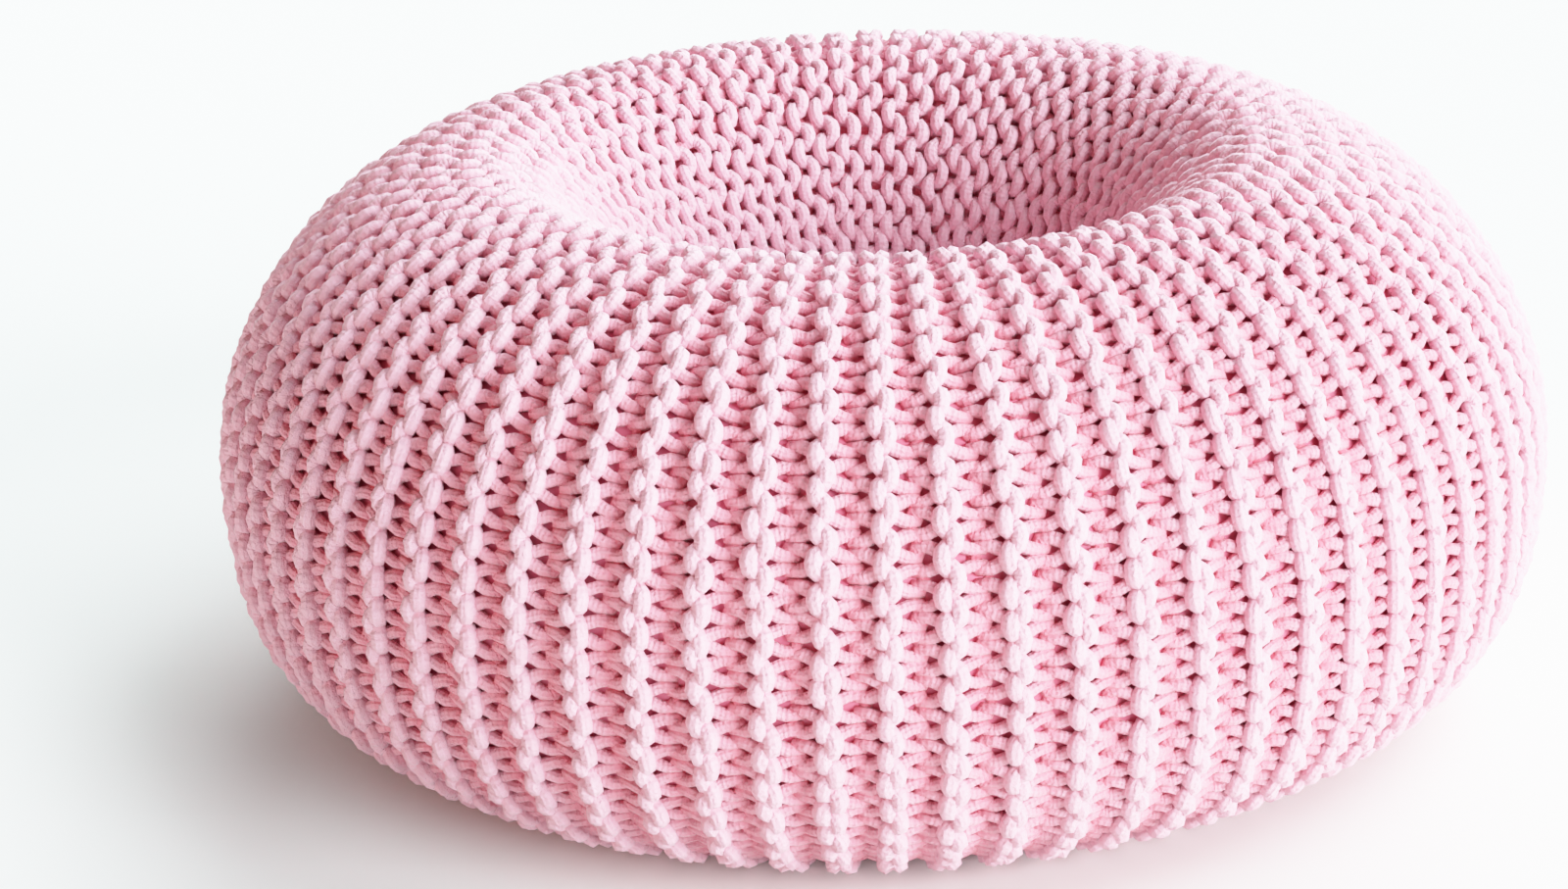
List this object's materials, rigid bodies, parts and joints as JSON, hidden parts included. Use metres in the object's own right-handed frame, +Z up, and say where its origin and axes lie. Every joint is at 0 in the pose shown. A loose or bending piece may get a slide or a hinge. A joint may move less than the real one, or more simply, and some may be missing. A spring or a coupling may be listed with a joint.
{
  "type": "knitted ring pouf",
  "caption": "Soft ring-shaped floor pouf in chunky garter-knit cotton cord, ridged from the hole over the crest, filled, flat at the base where it lies on the floor.",
  "frame": {"origin": "centre of the flat base, on the axis of the hole, at floor level", "axes": "+Z up along the axis of the hole; the ring is even all round, so X and Y lie anywhere in the floor, with a ridge on each"},
  "size_m": [0.75, 0.75, 0.3127],
  "materials": {
    "cotton_cord": "soft matt cotton cord in pale pink, garter knit, a deeper pink between the stitches"
  },
  "bodies": {
    "root": {"knit_ring": "cotton_cord"}
  },
  "joints": []
}
